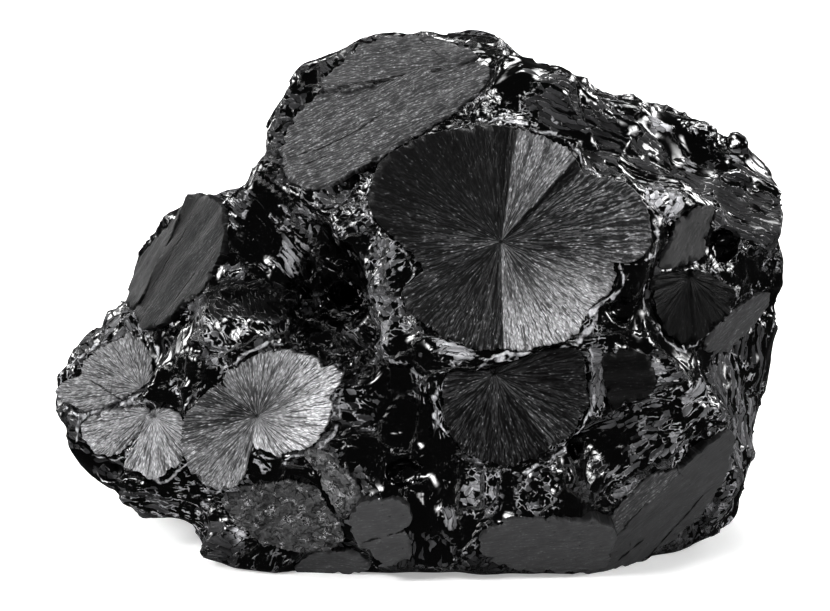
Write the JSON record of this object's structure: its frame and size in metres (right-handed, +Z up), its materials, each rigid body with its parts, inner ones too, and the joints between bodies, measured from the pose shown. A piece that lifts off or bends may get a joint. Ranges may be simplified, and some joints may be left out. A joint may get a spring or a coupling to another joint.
{
  "type": "graphite specimen",
  "caption": "Black rock specimen of graphite: radiating crystal fans and flat cleavage plates set in a glassy, shell-fractured matrix, resting on a flat underside.",
  "frame": {"origin": "under the middle of the specimen's box, on the plane it rests on", "axes": "+X along the specimen's length, to the right as the great fan is faced; -Y out of the great fan towards the viewer; +Z up"},
  "size_m": [0.0984, 0.0544, 0.0678],
  "materials": {
    "glassy_matrix": "black vitreous rock with shell-like fracture, sharp white highlights",
    "fibrous_graphite": "silky dark grey fibres that radiate from a centre, satin sheen",
    "platy_graphite": "semi-matt dark grey cleavage face with fine parallel striations"
  },
  "bodies": {
    "root": {"graphite_specimen": "glassy_matrix"}
  },
  "joints": []
}
